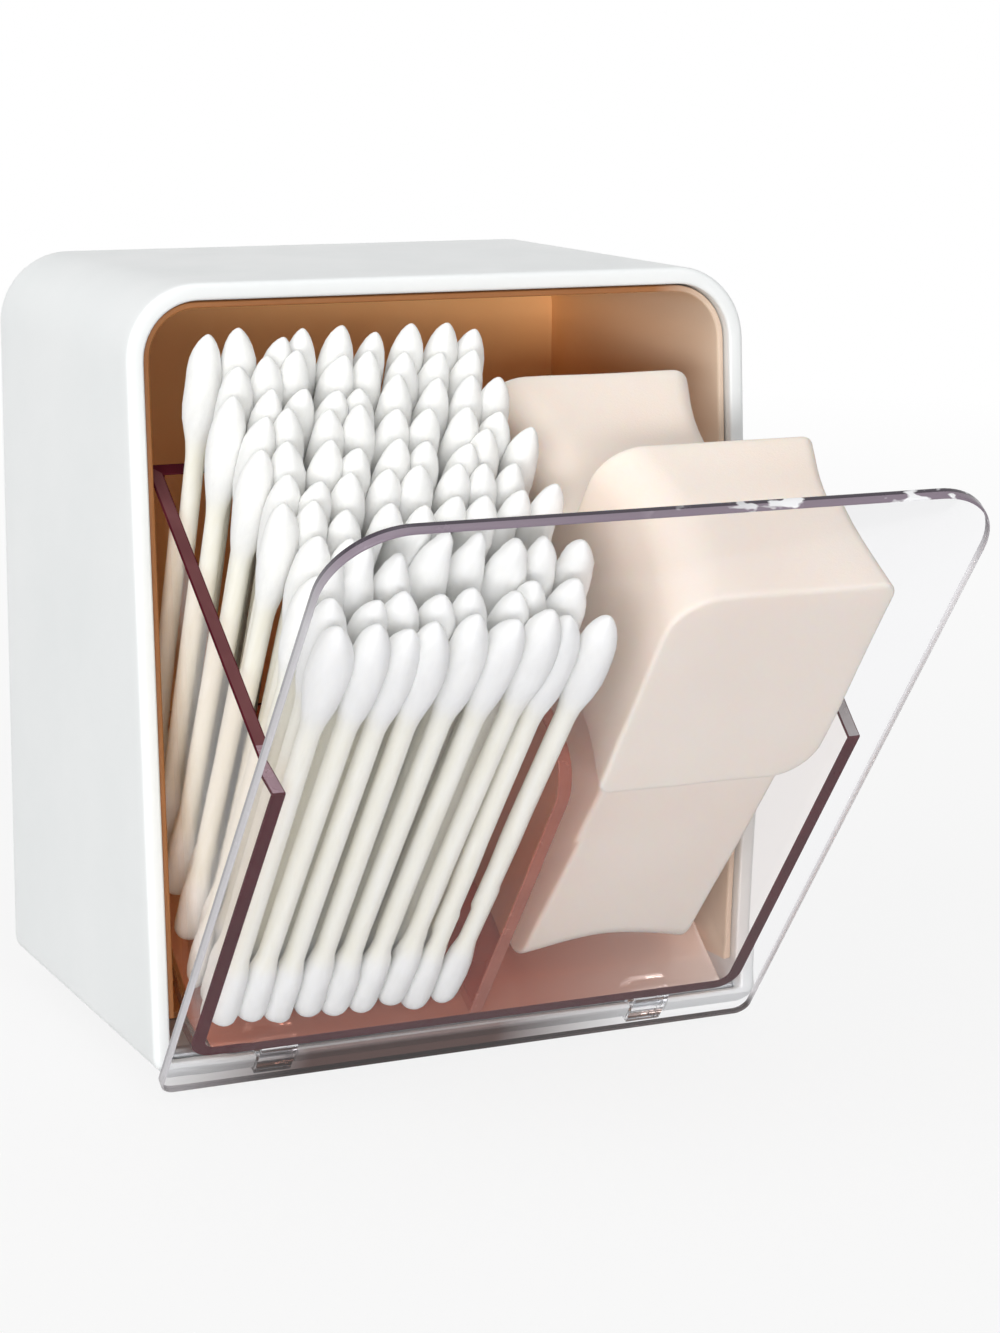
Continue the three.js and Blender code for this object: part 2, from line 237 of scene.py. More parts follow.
class Look:
    """A node material under construction."""

    def __init__(self, name):
        self.material = bpy.data.materials.new(name)
        self.material.use_nodes = True
        self.tree = self.material.node_tree
        self.tree.nodes.clear()
        self.out = self.add("ShaderNodeOutputMaterial")
        self.shader = self.add("ShaderNodeBsdfPrincipled")
        self.link(self.shader.outputs[0], self.out.inputs["Surface"])
        self.place = self.add("ShaderNodeTexCoord")
        self.coords = self.place.outputs["Object"]

    def add(self, kind, **settings):
        node = self.tree.nodes.new(kind)
        for key, value in settings.items():
            setattr(node, key, value)
        return node

    def link(self, a, b):
        self.tree.links.new(a, b)

    def set(self, **values):
        for key, value in values.items():
            self.shader.inputs[key.replace("_", " ")].default_value = value

    def stretched(self, scale):
        mapping = self.add("ShaderNodeMapping")
        mapping.inputs["Scale"].default_value = scale
        self.link(self.coords, mapping.inputs["Vector"])
        return mapping.outputs[0]

    def noise(self, scale, detail=3.0, roughness=0.55, vector=None):
        node = self.add("ShaderNodeTexNoise")
        node.inputs["Scale"].default_value = scale
        node.inputs["Detail"].default_value = detail
        node.inputs["Roughness"].default_value = roughness
        self.link(vector or self.coords, node.inputs["Vector"])
        return node.outputs["Fac"]

    def ramp(self, value, *stops):
        node = self.add("ShaderNodeValToRGB")
        for element, (position, colour) in zip(node.color_ramp.elements, stops):
            element.position = position
            element.color = colour
        self.link(value, node.inputs["Fac"])
        return node.outputs["Color"]

    def spread(self, value, low, high, from_low=0.3, from_high=0.7):
        node = self.add("ShaderNodeMapRange")
        node.inputs["From Min"].default_value = from_low
        node.inputs["From Max"].default_value = from_high
        node.inputs["To Min"].default_value = low
        node.inputs["To Max"].default_value = high
        self.link(value, node.inputs["Value"])
        return node.outputs["Result"]

    def rise(self, value, start, end):
        """0 before a place in millimetres, 1 after another. The first may be the higher one."""
        if start < end:
            return self.spread(value, 0, 1, start * MM, end * MM)
        return self.spread(value, 1, 0, end * MM, start * MM)

    def times(self, *values):
        """The product of some sockets."""
        product = values[0]
        for value in values[1:]:
            node = self.add("ShaderNodeMath", operation="MULTIPLY")
            self.link(product, node.inputs[0])
            self.link(value, node.inputs[1])
            product = node.outputs[0]
        return product

    def between(self, share, first, second):
        """A colour between two others."""
        node = self.add("ShaderNodeMix", data_type="RGBA")
        self.link(share, node.inputs["Factor"])
        for socket, colour in ((node.inputs[6], first), (node.inputs[7], second)):
            if isinstance(colour, tuple):
                socket.default_value = colour
            else:
                self.link(colour, socket)
        return node.outputs[2]

    def axes(self, vector=None):
        """The X, Y and Z of a vector, or else of the point in its piece's frame."""
        node = self.add("ShaderNodeSeparateXYZ")
        self.link(vector or self.coords, node.inputs[0])
        return node.outputs

    def colour(self, socket):
        self.link(socket, self.shader.inputs["Base Color"])

    def roughness(self, socket):
        self.link(socket, self.shader.inputs["Roughness"])

    def bump(self, height, distance, strength):
        node = self.add("ShaderNodeBump")
        node.inputs["Strength"].default_value = strength
        node.inputs["Distance"].default_value = distance * MM
        self.link(height, node.inputs["Height"])
        self.link(node.outputs[0], self.shader.inputs["Normal"])

    def mix_in(self, share, shader):
        """Another shader takes this one's place by a share."""
        mix = self.add("ShaderNodeMixShader")
        self.link(share, mix.inputs[0])
        self.link(self.shader.outputs[0], mix.inputs[1])
        self.link(shader.outputs[0], mix.inputs[2])
        self.link(mix.outputs[0], self.out.inputs["Surface"])

    def let_light_through(self, colour):
        """Lamps and soft light reach what is behind the surface."""
        clear = self.add("ShaderNodeBsdfTransparent")
        clear.inputs["Color"].default_value = colour
        self.mix_in(any_ray(self.tree, "Is Shadow Ray", "Is Diffuse Ray"), clear)


ACRYLIC_IOR = 1.49
CLEAR_TINT, CLEAR_SHADOW, CLEAR_POLISH = linear(252, 252, 253), linear(250, 250, 251), (0.015, 0.04)


def moulded(name, roughness):
    """Moulded plastic with a fine satin grain, still without its colour."""
    look = Look(name)
    look.roughness(look.spread(look.noise(160), *roughness))
    look.bump(look.noise(2200, detail=2), distance=0.006, strength=0.5)
    return look


def clouded(look, light, dark):
    """A colour that wavers between two others."""
    return look.ramp(look.noise(38), (0.3, dark), (0.7, light))


def white_look():
    look = moulded("white_plastic", (0.3, 0.42))
    look.colour(clouded(look, linear(243, 245, 245), linear(238, 241, 241)))
    return look.material


def tan_look(name, light, dark, pale, roughness):
    """The liner's plastic, paler towards the front of its right wall with painted light."""
    look = moulded(name, roughness)
    x, y, _ = look.axes()
    # Painted light: the front of the right wall turns pale.
    share = look.times(look.rise(x, 30, 38), look.rise(y, 48, 0))
    look.colour(look.between(share, clouded(look, light, dark), pale))
    return look.material


def polish(look, roughness):
    """A faintly uneven polish."""
    look.roughness(look.spread(look.noise(90), *roughness))
    look.bump(look.noise(55, detail=1), distance=0.004, strength=0.4)


def see_through(name, tint, shadow, roughness, ior):
    """Clear plastic. shadow is the colour of the light that has passed it."""
    look = Look(name)
    look.set(Base_Color=tint, IOR=ior, Transmission_Weight=1.0)
    polish(look, roughness)
    look.let_light_through(shadow)
    return look


def panel_look():
    """The clear panel, darkened along the middle of its foot by painted shade."""
    look = see_through("clear_panel", CLEAR_TINT, CLEAR_SHADOW, CLEAR_POLISH, ior=1.2)
    x, _, z = look.axes()
    # Painted shade: the middle of the foot is darkened, less so at its left end and not at all at the
    # right.
    foot = look.rise(z, FOOT_SHADE_END, FOOT_SHADE_FULL)
    left = look.spread(x, 0.2, 1, -PANEL_HALF * MM, -22 * MM)
    painted_shade = look.times(foot, left, look.rise(x, 26, 4))
    look.colour(look.ramp(painted_shade, (0.0, CLEAR_TINT), (1.0, linear(84, 60, 56))))
    return look.material


def floor_look():
    """The bin's floor, deep in colour up to its middle and paler towards the right with painted light."""
    look = Look("tinted_floor")
    x, _, _ = look.axes()
    deep = look.ramp(look.noise(40), (0.3, linear(202, 112, 84)), (0.7, linear(214, 127, 98)))
    # Painted light: the floor turns pale towards the right.
    look.colour(look.between(look.rise(x, 8, 36), deep, linear(250, 221, 206)))
    look.set(IOR=ACRYLIC_IOR, Transmission_Weight=0.45)
    polish(look, (0.1, 0.2))
    look.let_light_through(linear(240, 214, 206))
    return look.material


def edge_look(name, light, dark, transmission, roughness, shine=0.2):
    """A cut edge of clear plastic, which gathers the sheet's colour."""
    look = Look(name)
    look.set(IOR=ACRYLIC_IOR, Transmission_Weight=transmission, Specular_IOR_Level=shine)
    look.colour(look.ramp(look.noise(150, detail=2), (0.32, dark), (0.68, light)))
    look.roughness(look.spread(look.noise(700), *roughness))
    look.bump(look.noise(300, detail=1), distance=0.002, strength=0.3)
    look.let_light_through(linear(225, 215, 215))
    return look.material


def panel_edge_look(name, top, side, foot):
    """The panel's cut edge: smoky along the top, with painted glints at the right, lighter down the sides
    and most of all down the right one, where the extra lightness is painted light, and with painted shade
    at the foot but for its left end."""
    look = Look(name)
    x, _, z = look.axes()
    up = look.rise(z, PANEL_FOOT, PANEL_TOP)
    # Painted shade: the foot is dark, but for its lighter left end.
    along = look.between(look.rise(x, -PANEL_HALF, -24), linear(182, 178, 180), foot)
    # Painted light: the side edge turns lighter towards the right.
    sides = look.between(look.rise(x, 0, 30), side, linear(236, 234, 236))
    upper = look.between(look.spread(up, 0, 1, 0.86, 0.97), sides, top)
    plain = look.between(look.spread(up, 1, 0, 0.012, 0.04), upper, along)
    # Painted glints: pale patches along the top near its right end.
    uneven = look.noise(300, detail=3, roughness=0.6, vector=look.stretched((0.6, 1, 1)))
    painted_glints = look.spread(uneven, 0, 1, 0.53, 0.57)
    glint_share = look.times(painted_glints, look.rise(x, -6, 12), look.spread(up, 0, 1, 0.94, 0.97))
    look.colour(look.between(glint_share, plain, linear(240, 240, 242)))
    look.set(IOR=ACRYLIC_IOR, Specular_IOR_Level=0.3)
    look.roughness(look.spread(look.noise(500), 0.1, 0.3))
    look.bump(look.noise(300, detail=2), distance=0.004, strength=0.3)
    look.let_light_through(linear(225, 222, 225))
    return look.material


def swab_look():
    """Wound cotton that thins out onto a rolled paper stick, by the share of cotton at each point."""
    look = Look("swab")
    share = look.add("ShaderNodeAttribute", attribute_name="cotton").outputs["Fac"]
    wound = look.noise(900, detail=4, roughness=0.65, vector=look.stretched((1, 1, 0.35)))
    along = look.noise(1100, detail=3, roughness=0.5, vector=look.stretched((1, 1, 0.12)))
    cotton = look.ramp(wound, (0.3, linear(241, 241, 239)), (0.7, linear(248, 248, 246)))
    stick = look.ramp(along, (0.3, linear(245, 242, 229)), (0.7, linear(250, 248, 239)))
    look.colour(look.between(share, stick, cotton))
    look.roughness(look.spread(share, 0.6, 0.95, 0, 1))
    look.set(Subsurface_Weight=0.25, Subsurface_Scale=0.0015, Subsurface_Radius=(1.0, 0.95, 0.85))
    look.bump(look.times(wound, share), distance=0.12, strength=0.5)
    return look.material


def sponge_look():
    """Fine foam, warmer on its left sides for the orange light that the photograph shows there."""
    look = Look("sponge_foam")
    pores = look.noise(2600, detail=4, roughness=0.7)
    facing_x, _, _ = look.axes(look.place.outputs["Normal"])
    left = look.spread(facing_x, 1, 0, -0.98, -0.6)
    blush = look.noise(45, detail=2)
    front = look.ramp(blush, (0.3, linear(243, 228, 216)), (0.7, linear(246, 234, 223)))
    look.colour(look.between(left, front, linear(251, 232, 218)))
    look.roughness(look.spread(pores, 0.82, 0.98))
    look.set(Subsurface_Weight=0.4, Subsurface_Scale=0.003, Subsurface_Radius=(1.0, 0.55, 0.35))
    look.bump(pores, distance=0.06, strength=0.6)
    return look.material


def foam_look():
    look = Look("pad_foam")
    cells = look.noise(1500, detail=4, roughness=0.7)
    look.colour(look.ramp(cells, (0.3, linear(206, 206, 202)), (0.7, linear(224, 224, 220))))
    look.set(Roughness=0.95)
    look.bump(cells, distance=0.12, strength=0.8)
    return look.material


def steel_look():
    look = Look("steel")
    drawn = look.noise(900, detail=3, roughness=0.6, vector=look.stretched((0.04, 1, 1)))
    look.set(Metallic=1.0)
    look.colour(look.ramp(drawn, (0.3, linear(176, 178, 182)), (0.7, linear(204, 206, 209))))
    look.roughness(look.spread(drawn, 0.2, 0.38))
    look.bump(drawn, distance=0.01, strength=0.4)
    return look.material


WHITE = white_look()
# The third colour of each is the painted light on the front of the right wall.
TAN = tan_look(
    "tan_plastic", linear(250, 196, 134), linear(245, 187, 123), linear(252, 230, 206), (0.38, 0.5)
)
TAN_EDGE = tan_look(
    "tan_edge", linear(168, 110, 62), linear(156, 100, 55), linear(226, 202, 180), (0.45, 0.6)
)
CLEAR = see_through("clear_plastic", CLEAR_TINT, CLEAR_SHADOW, CLEAR_POLISH, ior=1.4).material
PANEL = panel_look()
# The foot colours of both edge materials are painted shade.
PANEL_EDGE = panel_edge_look(
    "panel_edge", top=linear(132, 119, 131), side=linear(196, 194, 198), foot=linear(96, 84, 84)
)
# A darker copy of the edge material for the back of the edge: painted dark reflection.
PANEL_DARK_REFLECTION = panel_edge_look(
    "panel_dark_reflection", top=linear(64, 56, 66), side=linear(160, 158, 162), foot=linear(70, 60, 60)
)
TINT = see_through(
    "tinted_plastic", linear(252, 248, 246), linear(252, 249, 246), (0.02, 0.06), ior=1.25
).material
TINT_DIVIDER = see_through(
    "tinted_divider", linear(234, 182, 154), linear(238, 186, 152), (0.02, 0.06), ior=1.2
).material
TINT_FLOOR = floor_look()
TINT_EDGE = edge_look("tinted_edge", linear(84, 30, 39), linear(72, 24, 33), 0.0, (0.2, 0.32), shine=0.0)
BAR_EDGE = edge_look("bar_edge", linear(112, 72, 74), linear(98, 60, 63), 0.0, (0.2, 0.32), shine=0.0)
MAUVE_EDGE = edge_look("mauve_edge", linear(172, 140, 150), linear(158, 126, 138), 0.2, (0.2, 0.32))
PALE_EDGE = edge_look("pale_edge", linear(198, 190, 191), linear(178, 170, 172), 0.3, (0.15, 0.3))
DIVIDER_EDGE = edge_look("divider_edge", linear(178, 98, 76), linear(162, 86, 66), 0.2, (0.15, 0.3))
SWAB, SPONGE, FOAM, STEEL = swab_look(), sponge_look(), foam_look(), steel_look()


# Housing.


def skin_ring(inset, y, leaning):
    """One ring of the housing's skin, drawn in from its outside by inset."""
    foot = max(FOOT_RADIUS - inset, LEAST_RADIUS)
    top = max(TOP_RADIUS - inset, LEAST_RADIUS)
    outline = rounded(WIDTH / 2 - inset, inset, HEIGHT - inset, (foot, top, top, foot))
    return [(x, y + (front_at(z) if leaning else 0), z) for x, z in outline]


def open_box(outside, inside, front, back, inner_back, outer_round, rim_round, back_round):
    """Rings of an open-fronted box, from the back's outside round the rim to the back's inside, and the
    numbers of the rings where its rim begins and ends."""
    rings = [skin_ring(outside + back_round * 3, back, False)]
    for inset, along in quarter(back_round, 4):
        rings.append(skin_ring(outside + inset, back - along, False))
    rings.append(skin_ring(outside, back - 2 * back_round, False))
    rim_start = len(rings)
    rings.append(skin_ring(outside, front + 3 * outer_round, True))
    for inset, along in reversed(quarter(outer_round, 4)):
        rings.append(skin_ring(outside + inset, front + along, True))
    for inset, along in quarter(rim_round, 3):
        rings.append(skin_ring(inside - inset, front + along, True))
    rim_end = len(rings) - 2
    rings.append(skin_ring(inside, front + 3 * rim_round, True))
    rings.append(skin_ring(inside, inner_back, False))
    return rings, (rim_start, rim_end)


def make_shell():
    """The white box, with a groove for the rod, slots for the lugs and a chamfer along the lower front
    edge that the panel swings past. Cutters reach past the faces that they cut."""
    rings, _ = open_box(
        0, WALL, 0, ROOF_DEPTH, ROOF_DEPTH - WALL, outer_round=0.8, rim_round=0.4, back_round=1.0
    )
    shell = new_piece("housing_shell", *loft(rings), [WHITE], TO_HOUSING)
    slot_half, slot_reach, groove_half, past, past_side = 2.85, 2.6, 40.3, 2, 1.5
    ahead, behind = -LEAN - CHAMFER_DEPTH, -LEAN + 2 * CHAMFER_DEPTH
    chamfer = [(ahead, -CHAMFER_HEIGHT), (behind, -CHAMFER_HEIGHT), (ahead, 2 * CHAMFER_HEIGHT)]
    groove_low = (-groove_half, ROD_Y - ROD_ROOM, ROD_Z - ROD_ROOM)
    cuts = [box_points(groove_low, (groove_half, ROD_Y + ROD_ROOM, WALL + past))]
    for x in (-LUG_X, LUG_X):
        low = (x - slot_half, -LEAN - past, -past)
        cuts.append(box_points(low, (x + slot_half, ROD_Y + slot_reach, WALL + past)))
    cuts.append(prism(chamfer, -WIDTH / 2 - past_side, WIDTH / 2 + past_side))
    carve(shell, [new_piece("cutter", *cut, [WHITE], TO_HOUSING) for cut in cuts])
    settle(shell, "housing", "outer_shell")


def make_liner():
    """The tan skin. Its front edge and the notch over the hinge are a darker cut edge."""
    outside = WALL + LINER_GAP
    back = ROOF_DEPTH - outside
    rings, rim = open_box(
        outside, outside + LINER_WALL, LINER_SETBACK, back, back - LINER_WALL,
        outer_round=0.2, rim_round=0.25, back_round=0.3,
    )
    verts, faces = loft(rings)
    edge = range(rim[0] * len(rings[0]), rim[1] * len(rings[0]))
    picks = [1 if i in edge else 0 for i in range(len(faces))]
    liner = new_piece("housing_liner", verts, faces, [TAN, TAN_EDGE], TO_HOUSING, picks)
    past_side, past_front = 50, -12
    verts, faces = box_points((-past_side, past_front, 0), (past_side, NOTCH_DEPTH, NOTCH_HEIGHT))
    carve(liner, [new_piece("cutter", verts, faces, [TAN, TAN_EDGE], TO_HOUSING, [1] * len(faces))])
    settle(liner, "housing", "inner_liner")


def make_pad():
    side = quarter(PAD_ROUND, 4)
    places = [(inset, PAD_FRONT + along) for inset, along in side]
    places += [(inset, PAD_BACK - along) for inset, along in reversed(side)]
    rings = []
    for inset, y in places:
        outline = rounded(PAD_HALF - inset, PAD_LOW + inset, PAD_HIGH - inset, [PAD_RADIUS - inset] * 4)
        rings.append([(x, y, z) for x, z in outline])
    pad = new_piece("back_pad", *loft(rings), [FOAM], TO_HOUSING)
    settle(pad, "housing", "wall_pad")


def make_rod():
    sides, tip = 40, ROD_RADIUS - ROD_CHAMFER
    inner = ROD_HALF - ROD_CHAMFER
    turns = [2 * math.pi * i / sides for i in range(sides)]
    rings = []
    for x, r in ((-ROD_HALF, tip), (-inner, ROD_RADIUS), (inner, ROD_RADIUS), (ROD_HALF, tip)):
        rings.append([(x, ROD_Y + r * math.cos(a), ROD_Z + r * math.sin(a)) for a in turns])
    rod = new_piece("pivot_rod", *loft(rings), [STEEL], TO_HOUSING)
    settle(rod, "housing", "hinge_rod")


# Panel, bin and lugs.


def make_panel():
    """A sheet with softened edges, and a darker strip of painted dark reflection along the back of its
    edge.
    """
    steps = 3
    side = quarter(PANEL_ROUND, steps)
    places = [(inset, PANEL_FRONT + along) for inset, along in side]
    places.append((0, PANEL_BACK - RIM_WIDTH))
    places += [(inset, PANEL_BACK - along) for inset, along in reversed(side)]
    corners = (PANEL_FOOT_RADIUS, PANEL_TOP_RADIUS, PANEL_TOP_RADIUS, PANEL_FOOT_RADIUS)
    rings = []
    for inset, v in places:
        radii = [radius - inset for radius in corners]
        outline = rounded(PANEL_HALF - inset, PANEL_FOOT + inset, PANEL_TOP - inset, radii, steps=18)
        rings.append([(x, v, w) for x, w in outline])
    verts, faces = loft(rings)
    picks = [2 if k > steps else 1 for k in range(len(rings) - 1) for _ in rings[0]] + [0, 0]
    panel = new_piece("clear_panel", verts, faces, [PANEL, PANEL_EDGE, PANEL_DARK_REFLECTION], TO_BIN, picks)
    settle(panel, "tilt_bin", "front_panel")


def trough(half, bottom, radius):
    """A U-shaped outline from the left top round the floor to the right top."""
    steps, middle = 8, BIN_TOP * 0.6 + bottom * 0.4
    left = arc((-half + radius, bottom + radius), radius, 180, 90, steps)
    right = arc((half - radius, bottom + radius), radius, 270, 90, steps)
    outline = [(-half, BIN_TOP), (-half, middle), *left, (0, bottom), *right]
    return outline + [(half, middle), (half, BIN_TOP)]


def make_bin():
    """The bin's outer and inner skins, with the cut edge between them in several shades: dark round the
    front and along the back wall's top, pale along the right wall's top, and along the left wall's
    mauve up to the first division and brown behind it."""
    materials = [TINT, TINT_EDGE, TINT_FLOOR, PALE_EDGE, MAUVE_EDGE, BAR_EDGE]
    sheet, edge, floor, pale, mauve, bar = range(len(materials))
    divisions, floor_reach = (4, 15, 40), 3
    stations = [BIN_FRONT, *divisions]
    outside = [
        [(x, v, w) for x, w in trough(BIN_X, floor_under(v), BIN_RADIUS)] for v in [*stations, BIN_BACK]
    ]
    inside = [
        [(x, v, w) for x, w in trough(BIN_INNER_X, floor_top(v), BIN_INNER_RADIUS)]
        for v in [*stations, BIN_INNER_BACK]
    ]
    n, rows = len(outside[0]), len(outside)
    verts = [p for ring in outside + inside for p in ring]
    start, last = rows * n, (rows - 1) * n
    faces, picks = [], []

    def put(face, pick):
        faces.append(face)
        picks.append(pick)

    floor_strips = range(n // 2 - floor_reach, n // 2 + floor_reach)
    for base in (0, start):
        for k in range(rows - 1):
            for i in range(n - 1):
                a = base + k * n + i
                put((a, a + 1, a + n + 1, a + n), floor if base and i in floor_strips else sheet)
    for i in range(n - 1):
        put((i, i + 1, start + i + 1, start + i), edge)
    for k in range(rows - 1):
        for i, pick in ((0, bar if k else mauve), (n - 1, pale)):
            a, b = k * n + i, (k + 1) * n + i
            put((a, b, start + b, start + a), pick)
    put((last, last + n - 1, start + last + n - 1, start + last), edge)
    put(tuple(range(last, last + n)), sheet)
    put(tuple(range(start + last, start + last + n)), sheet)
    store = new_piece("swab_bin", verts, faces, materials, TO_BIN, picks)
    soften(store, pick=edge)
    settle(store, "tilt_bin", "storage_bin")


def make_divider():
    """A wall with a round top front corner."""
    radius, half, drop = 6, 0.9, 1.5
    front, back, top = BIN_FRONT, BIN_INNER_BACK - GAP, BIN_TOP - drop
    outline = [(front, floor_top(front) + GAP), (back, floor_top(back) + GAP), (back, top)]
    outline += arc((front + radius, top - radius), radius, 90, 90, 12)
    verts, faces = prism(outline, -half, half)
    picks = [0, 0] + [1] * (len(faces) - 2)
    wall = new_piece("middle_divider", verts, faces, [TINT_DIVIDER, DIVIDER_EDGE], TO_BIN, picks)
    soften(wall, angle=50, pick=1)
    settle(wall, "tilt_bin", "bin_divider")


def make_lug(node, x):
    """A round eye on the rod, with an arm under the bin's floor."""
    radius, reach, thick, sides, past = 2.25, 9.5, 1.4, 32, 1

    def arm_top(v):
        return floor_under(v) - GAP

    def arm_under(v):
        return arm_top(v) - thick

    stop = math.degrees(math.asin(arm_under(0) / radius))
    outline = [(BIN_FRONT, -radius), *arc((0, 0), radius, -90, 90 + stop, 20)]
    outline += [(reach, arm_under(reach)), (reach, arm_top(reach)), (BIN_FRONT, arm_top(BIN_FRONT))]
    solid = prism(outline, x - LUG_HALF, x + LUG_HALF)
    lug = new_piece(node.replace("hinge_lug", "lug"), *solid, [CLEAR], TO_BIN)
    turns = [2 * math.pi * i / sides for i in range(sides)]
    bore = [(ROD_ROOM * math.cos(a), ROD_ROOM * math.sin(a)) for a in turns]
    hole = prism(bore, x - LUG_HALF - past, x + LUG_HALF + past)
    carve(lug, [new_piece("cutter", *hole, [CLEAR], TO_BIN)])
    soften(lug)
    settle(lug, "tilt_bin", node)


# Swabs.

SWAB_LENGTH = 71
SWAB_SIDES = 18
STICK_RADIUS = 1.2
# (height from the end, radius) over each bud, and where its cotton thins out onto the stick.
LOWER_BUD = [(0, 0.15), (0.1, 0.85), (0.4, 1.35), (1.0, 1.68), (2.2, 1.84), (4, 1.86), (6, 1.84)]
LOWER_BUD += [(8, 1.78), (9.6, 1.6), (11, 1.4), (12, 1.27)]
LOWER_THINS = (9.0, 12.4)
UPPER_BUD = [(16.6, 1.25), (15.2, 1.38), (13.6, 1.66), (12, 1.95), (10, 2.18), (7.8, 2.28), (5.6, 2.24)]
UPPER_BUD += [(3.8, 2.04), (2.4, 1.68), (1.3, 1.22), (0.6, 0.78), (0.2, 0.42), (0, 0.12)]
UPPER_THINS = (12.2, 16.6)
ROWS, ABREAST, ROW_PITCH, FIRST_ROW, FOOT_REACH = 11, 9, 3.4, -0.6, 1.75
# Where a full row begins at the left, in the first and the last row, and where it ends at the right.
LEFT_FEET, LEFT_TIPS = (-34.3, -33), (-35.2, -36.6)
RIGHT_FOOT, RIGHT_TIP = -4.6, -1.1
REAR_LEAN = math.radians(12)
# How unevenly swabs stand and are wound. Those beside the bin's wall or the divider sway less towards it.
FOOT_PLAY, LENGTH_PLAY = 0.15, (-0.7, 0.2)
TIP_PLAY, LEFT_PLAY, RIGHT_PLAY, NEAR_DIVIDER = 0.8, 0.1, 0.2, 0.9
FATNESS, UNEVENNESS, ANY_TURN = (0.96, 1.03), (0.02, 0.05), (0, 6.28)
BENT_LENGTH, TIP_BEND = 8, 0.5
# Two waves run round a bud. Each turns with the height, and the second is the weaker one.
FIRST_TURN, SECOND_TURN, SECOND_SHARE = 0.25, 0.7, 0.8


def part_way(a, b, share):
    return a + (b - a) * share


def thinning(height, ends):
    """The share of cotton at a height: 1 up to the first end, 0 from the second."""
    t = min(max((height - ends[0]) / (ends[1] - ends[0]), 0), 1)
    return 1 - t * t * (3 - 2 * t)


def swab_rings(length, fat):
    """(height, radius, share of cotton) up one swab."""
    low = [(h, r * fat, thinning(h, LOWER_THINS)) for h, r in LOWER_BUD]
    high = [(length - h, r * fat, thinning(h, UPPER_THINS)) for h, r in UPPER_BUD]
    past_bud, parts = 0.8, 4
    a, b = low[-1][0] + past_bud, high[0][0] - past_bud
    return low + [(part_way(a, b, i / parts), STICK_RADIUS, 0.0) for i in range(parts + 1)] + high


def add_swab(verts, faces, shares, foot, along, length):
    """One swab on its foot, pointing along a direction, its buds a little uneven."""
    fat = rng.uniform(*FATNESS)
    twist, swing, uneven = rng.uniform(*ANY_TURN), rng.uniform(*ANY_TURN), rng.uniform(*UNEVENNESS)
    tip = (rng.uniform(-TIP_BEND, TIP_BEND), rng.uniform(-TIP_BEND, TIP_BEND))
    turn = Vector((0, 0, 1)).rotation_difference(along)
    rings = []
    for height, radius, share in swab_rings(length, fat):
        past = max(0.0, (height - (length - BENT_LENGTH)) / BENT_LENGTH) ** 2
        ring = []
        for i in range(SWAB_SIDES):
            a = 2 * math.pi * i / SWAB_SIDES
            grow = 1 + share * uneven * math.sin(2 * a + twist + FIRST_TURN * height)
            grow += SECOND_SHARE * share * uneven * math.sin(3 * a + swing - SECOND_TURN * height)
            r = radius * grow
            point = Vector((r * math.cos(a) + tip[0] * past, r * math.sin(a) + tip[1] * past, height))
            ring.append(foot + turn @ point)
            shares.append(share)
        rings.append(ring)
    start = len(verts)
    points, skin = loft(rings)
    verts += points
    faces += [tuple(start + i for i in face) for face in skin]


def row_play(row):
    """How far a row's tips sway back, and how high its feet may stand. The first and last rows keep off
    the panel and the bin's back wall."""
    if row == 0:
        return (0, 0.9), 2.2
    if row == ROWS - 1:
        return (-0.9, 0), 0.8
    return (-1, 1), 0.8


def make_row(row):
    """One row of swabs. Every other row has one less and stands in the gaps of its neighbours."""
    short, depth = row % 2, row / (ROWS - 1)
    v = FIRST_ROW + ROW_PITCH * row
    floor = floor_top(v + FOOT_REACH) + CLEARANCE
    sway, lift = row_play(row)
    verts, faces, shares = [], [], []
    for i in range(ABREAST - short):
        share = (i + short / 2) / (ABREAST - 1)
        x = part_way(part_way(*LEFT_FEET, depth), RIGHT_FOOT, share)
        over = part_way(part_way(*LEFT_TIPS, depth), RIGHT_TIP, share) - x
        right_play = RIGHT_PLAY if share > NEAR_DIVIDER else TIP_PLAY
        over += rng.uniform(-TIP_PLAY if i else -LEFT_PLAY, right_play)
        back = SWAB_LENGTH * math.sin(REAR_LEAN * depth) + rng.uniform(*sway)
        along = Vector((over, back, math.sqrt(SWAB_LENGTH ** 2 - over ** 2 - back ** 2)))
        foot = Vector((x + rng.uniform(-FOOT_PLAY, FOOT_PLAY), v, floor + rng.uniform(0, lift)))
        add_swab(verts, faces, shares, foot, along, SWAB_LENGTH + rng.uniform(*LENGTH_PLAY))
    piece = new_piece(f"swabs_{row + 1:02d}", verts, faces, [SWAB], TO_BIN, smooth_angle=60)
    piece.data.attributes.new("cotton", "FLOAT", "POINT").data.foreach_set("value", shares)
    settle(piece, "tilt_bin", f"swab_row_{row + 1:02d}")


# Sponges.

UPRIGHT, LYING = (1, 0, 2), (0, 2, 1)


